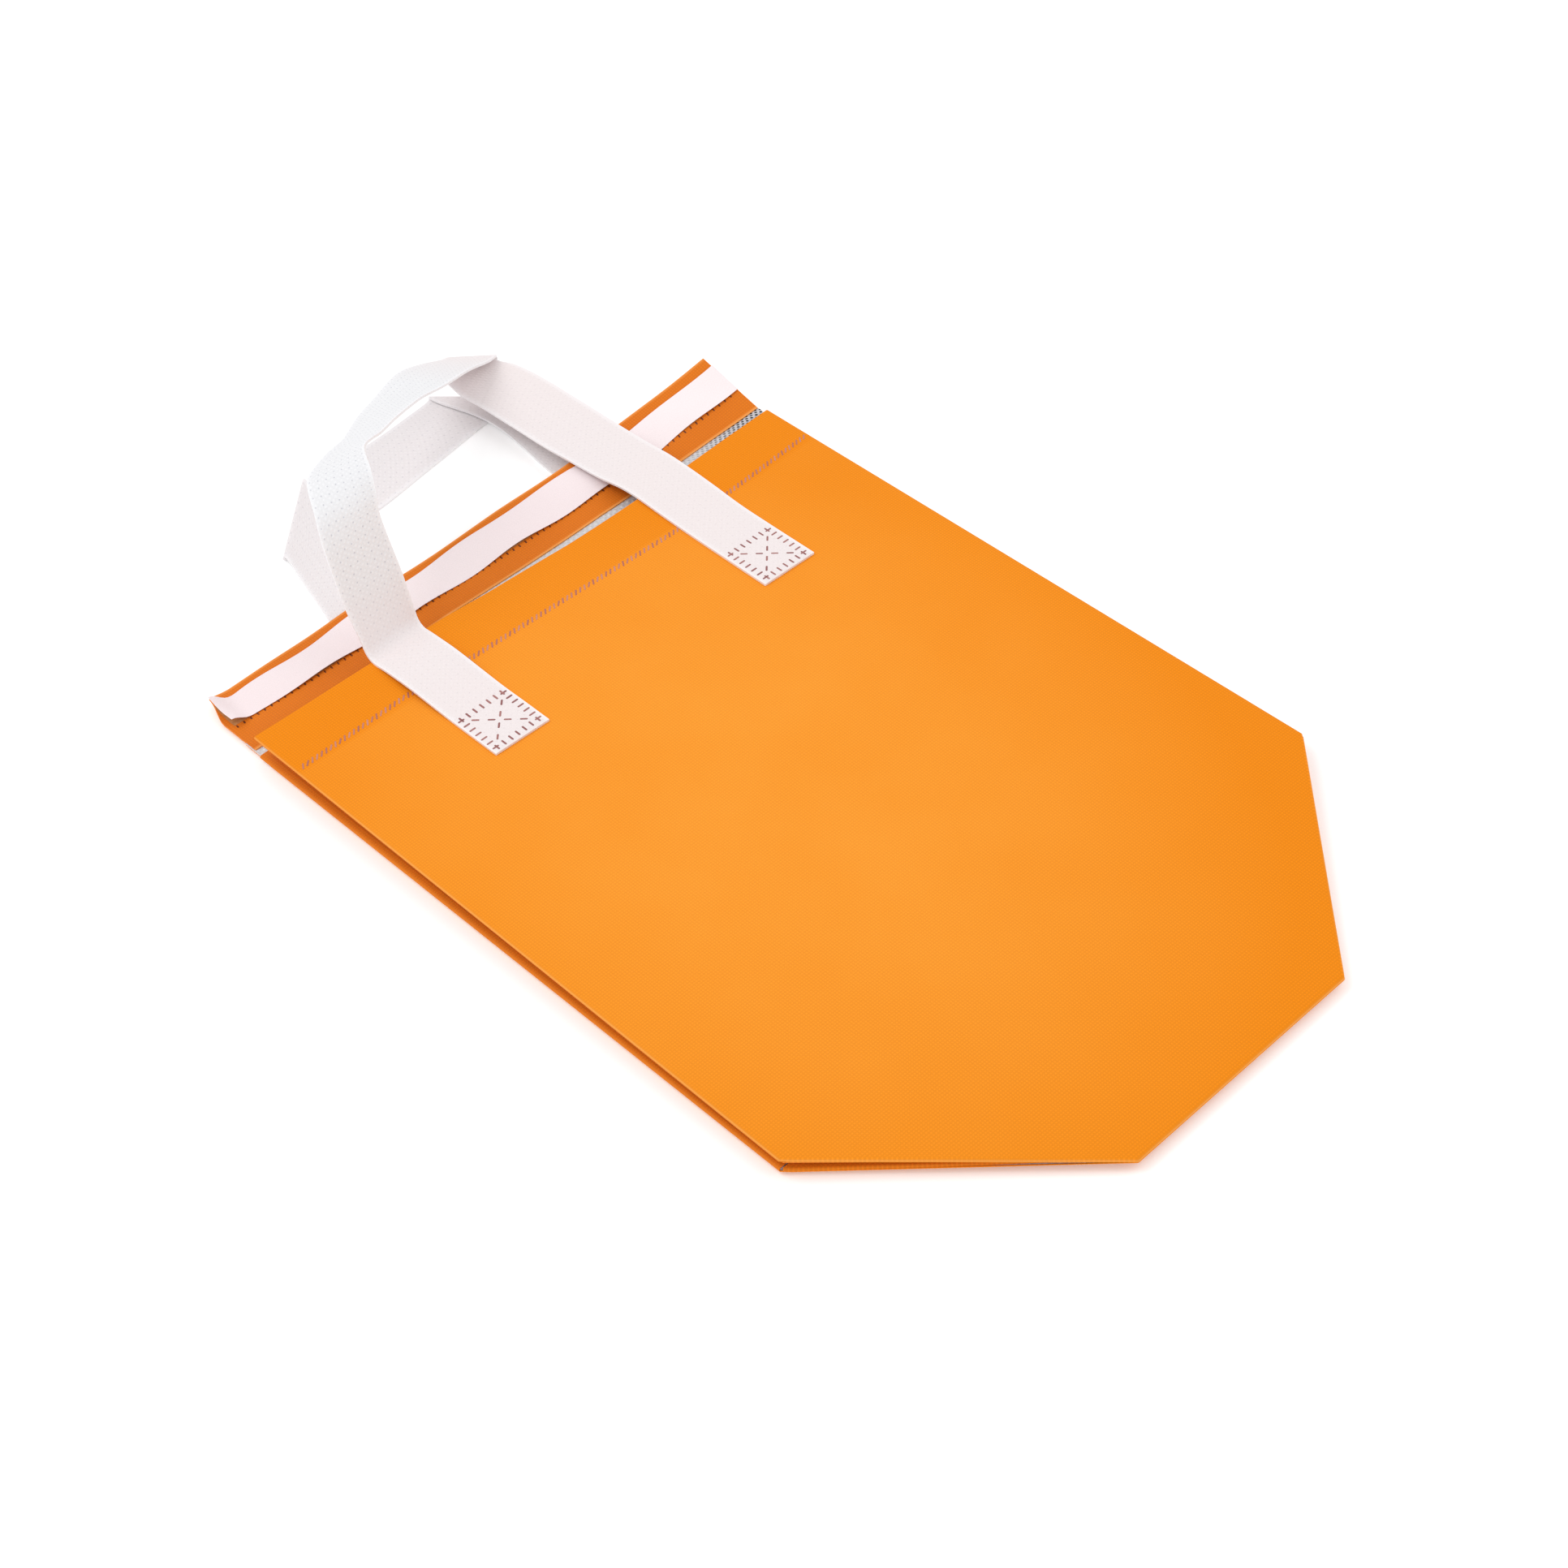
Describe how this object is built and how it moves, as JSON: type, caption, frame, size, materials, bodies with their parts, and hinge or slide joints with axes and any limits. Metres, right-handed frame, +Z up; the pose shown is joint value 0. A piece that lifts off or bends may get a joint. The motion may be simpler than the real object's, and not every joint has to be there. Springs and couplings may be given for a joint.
{
  "type": "insulated carrier bag",
  "caption": "Flat-folded insulated non-woven carrier bag with side gussets, block bottom, strap handles and a self-adhesive closing flap.",
  "frame": {"origin": "centre of the back panel's underside, the face that the folded bag rests on", "axes": "+Y along the bag from the bottom fold to the mouth, +X across the width, +Z up out of the front panel"},
  "size_m": [0.33, 0.6035, 0.0857],
  "materials": {
    "orange_non_woven": "laminated non-woven, fine woven-look emboss, satin",
    "silver_lining": "embossed metallised film on thin foam",
    "strap_non_woven": "white spunbond with a fine diamond emboss, matt",
    "weld_marks": "fused weld spots, slightly glossy",
    "liner_paper": "silicone-coated release liner, soft sheen",
    "adhesive": "clear tacky adhesive film"
  },
  "bodies": {
    "back_wall": {"back_panel_lining": "silver_lining", "back_panel_outer": "orange_non_woven", "back_handle_ends": "strap_non_woven", "back_handle_welds": "weld_marks"},
    "fold_strip": {"fold_strip_lining": "silver_lining", "fold_strip_outer": "orange_non_woven"},
    "flap": {"flap_facing": "orange_non_woven", "flap_outer": "orange_non_woven", "flap_adhesive": "adhesive", "flap_hem_weld": "weld_marks"},
    "release_liner": {"release_liner": "liner_paper"},
    "back_handle": {"back_handle_loop": "strap_non_woven"},
    "front_wall": {"front_panel_lining": "silver_lining", "front_panel_outer": "orange_non_woven", "front_hem": "orange_non_woven", "front_hem_weld": "weld_marks", "front_handle_ends": "strap_non_woven", "front_handle_welds": "weld_marks"},
    "front_handle": {"front_handle_loop": "strap_non_woven"},
    "back_base": {"back_base_lining": "silver_lining", "back_base_outer": "orange_non_woven"},
    "front_base": {"front_base_lining": "silver_lining", "front_base_outer": "orange_non_woven"},
    "left_gusset_back": {"left_gusset_back_lining": "silver_lining", "left_gusset_back_outer": "orange_non_woven"},
    "left_web_back": {"left_web_back_lining": "silver_lining", "left_web_back_outer": "orange_non_woven"},
    "left_gusset_front": {"left_gusset_front_lining": "silver_lining", "left_gusset_front_outer": "orange_non_woven"},
    "left_web_front": {"left_web_front_lining": "silver_lining", "left_web_front_outer": "orange_non_woven"},
    "right_gusset_back": {"right_gusset_back_lining": "silver_lining", "right_gusset_back_outer": "orange_non_woven"},
    "right_web_back": {"right_web_back_lining": "silver_lining", "right_web_back_outer": "orange_non_woven"},
    "right_gusset_front": {"right_gusset_front_lining": "silver_lining", "right_gusset_front_outer": "orange_non_woven"},
    "right_web_front": {"right_web_front_lining": "silver_lining", "right_web_front_outer": "orange_non_woven"}
  },
  "joints": [
    {"name": "left_side_opening", "type": "hinge", "parent": "back_wall", "child": "left_gusset_back", "pos_m": [-0.165, 0, 0.0012], "axis": [0, -1, 0], "range_deg": [0, 88.3], "deforming": ["left_web_back_lining", "left_web_back_outer", "left_web_front_lining", "left_web_front_outer", "right_web_back_lining", "right_web_back_outer", "right_web_front_lining", "right_web_front_outer"]},
    {"name": "left_centre_crease", "type": "hinge", "parent": "left_gusset_back", "child": "left_gusset_front", "pos_m": [-0.06507, 0, 0.0052], "axis": [0, 1, 0], "range_deg": [0, 176.6]},
    {"name": "right_side_opening", "type": "hinge", "parent": "back_wall", "child": "right_gusset_back", "pos_m": [0.165, 0, 0.0012], "axis": [0, 1, 0], "range_deg": [0, 88.3]},
    {"name": "right_centre_crease", "type": "hinge", "parent": "right_gusset_back", "child": "right_gusset_front", "pos_m": [0.06507, 0, 0.0052], "axis": [0, -1, 0], "range_deg": [0, 176.6]},
    {"name": "front_panel_crease", "type": "hinge", "parent": "left_gusset_front", "child": "front_wall", "pos_m": [-0.165, 0, 0.0092], "axis": [0, -1, 0], "range_deg": [0, 88.3]},
    {"name": "back_base_crease", "type": "hinge", "parent": "back_wall", "child": "back_base", "pos_m": [0, -0.175, 0.0012], "axis": [-1, 0, 0], "range_deg": [0, 88.3]},
    {"name": "front_base_crease", "type": "hinge", "parent": "front_wall", "child": "front_base", "pos_m": [0, -0.175, 0.0092], "axis": [1, 0, 0], "range_deg": [0, 88.3]},
    {"name": "left_web_back_seam", "type": "hinge", "parent": "back_base", "child": "left_web_back", "pos_m": [-0.165, -0.175, 0.0012], "axis": [0.7071, -0.7068, 0.0198], "range_deg": [0, 177.73]},
    {"name": "left_web_front_seam", "type": "hinge", "parent": "front_base", "child": "left_web_front", "pos_m": [-0.165, -0.175, 0.0092], "axis": [-0.7071, 0.7068, 0.0198], "range_deg": [0, 177.73]},
    {"name": "right_web_back_seam", "type": "hinge", "parent": "back_base", "child": "right_web_back", "pos_m": [0.165, -0.175, 0.0012], "axis": [0.7071, 0.7068, -0.0198], "range_deg": [0, 177.73]},
    {"name": "right_web_front_seam", "type": "hinge", "parent": "front_base", "child": "right_web_front", "pos_m": [0.165, -0.175, 0.0092], "axis": [-0.7071, -0.7068, -0.0198], "range_deg": [0, 177.73]},
    {"name": "front_handle_swing", "type": "hinge", "parent": "front_wall", "child": "front_handle", "pos_m": [0, 0.115, 0.0119], "axis": [1, 0, 0], "range_deg": [0, 135]},
    {"name": "fold_strip_fold", "type": "hinge", "parent": "back_wall", "child": "fold_strip", "pos_m": [0, 0.175, 0.0012], "axis": [1, 0, 0], "range_deg": [0, 90]},
    {"name": "flap_fold", "type": "hinge", "parent": "fold_strip", "child": "flap", "pos_m": [0, 0.19, 0.0012], "axis": [1, 0, 0], "range_deg": [0, 90]},
    {"name": "back_handle_swing", "type": "hinge", "parent": "back_wall", "child": "back_handle", "pos_m": [0, 0.115, -0.0012], "axis": [-1, 0, 0], "range_deg": [0, 170]},
    {"name": "release_liner_peel", "type": "slide", "parent": "flap", "child": "release_liner", "axis": [-1, 0, 0], "range_m": [0, 0.34]}
  ],
  "couplings": [
    {"joint": "left_centre_crease", "follows": "left_side_opening", "ratio": 2},
    {"joint": "right_centre_crease", "follows": "left_side_opening", "ratio": 2},
    {"joint": "right_side_opening", "follows": "left_side_opening", "ratio": 1},
    {"joint": "front_panel_crease", "follows": "left_side_opening", "ratio": 1},
    {"joint": "back_base_crease", "follows": "left_side_opening", "ratio": 1},
    {"joint": "front_base_crease", "follows": "left_side_opening", "ratio": 1},
    {"joint": "left_web_back_seam", "follows": "left_side_opening", "ratio": 2.0106},
    {"joint": "left_web_front_seam", "follows": "left_side_opening", "ratio": 2.0106},
    {"joint": "right_web_back_seam", "follows": "left_side_opening", "ratio": 2.0106},
    {"joint": "right_web_front_seam", "follows": "left_side_opening", "ratio": 2.0106},
    {"joint": "fold_strip_fold", "follows": "front_handle_swing", "ratio": 0.66667},
    {"joint": "flap_fold", "follows": "front_handle_swing", "ratio": 0.66667}
  ]
}
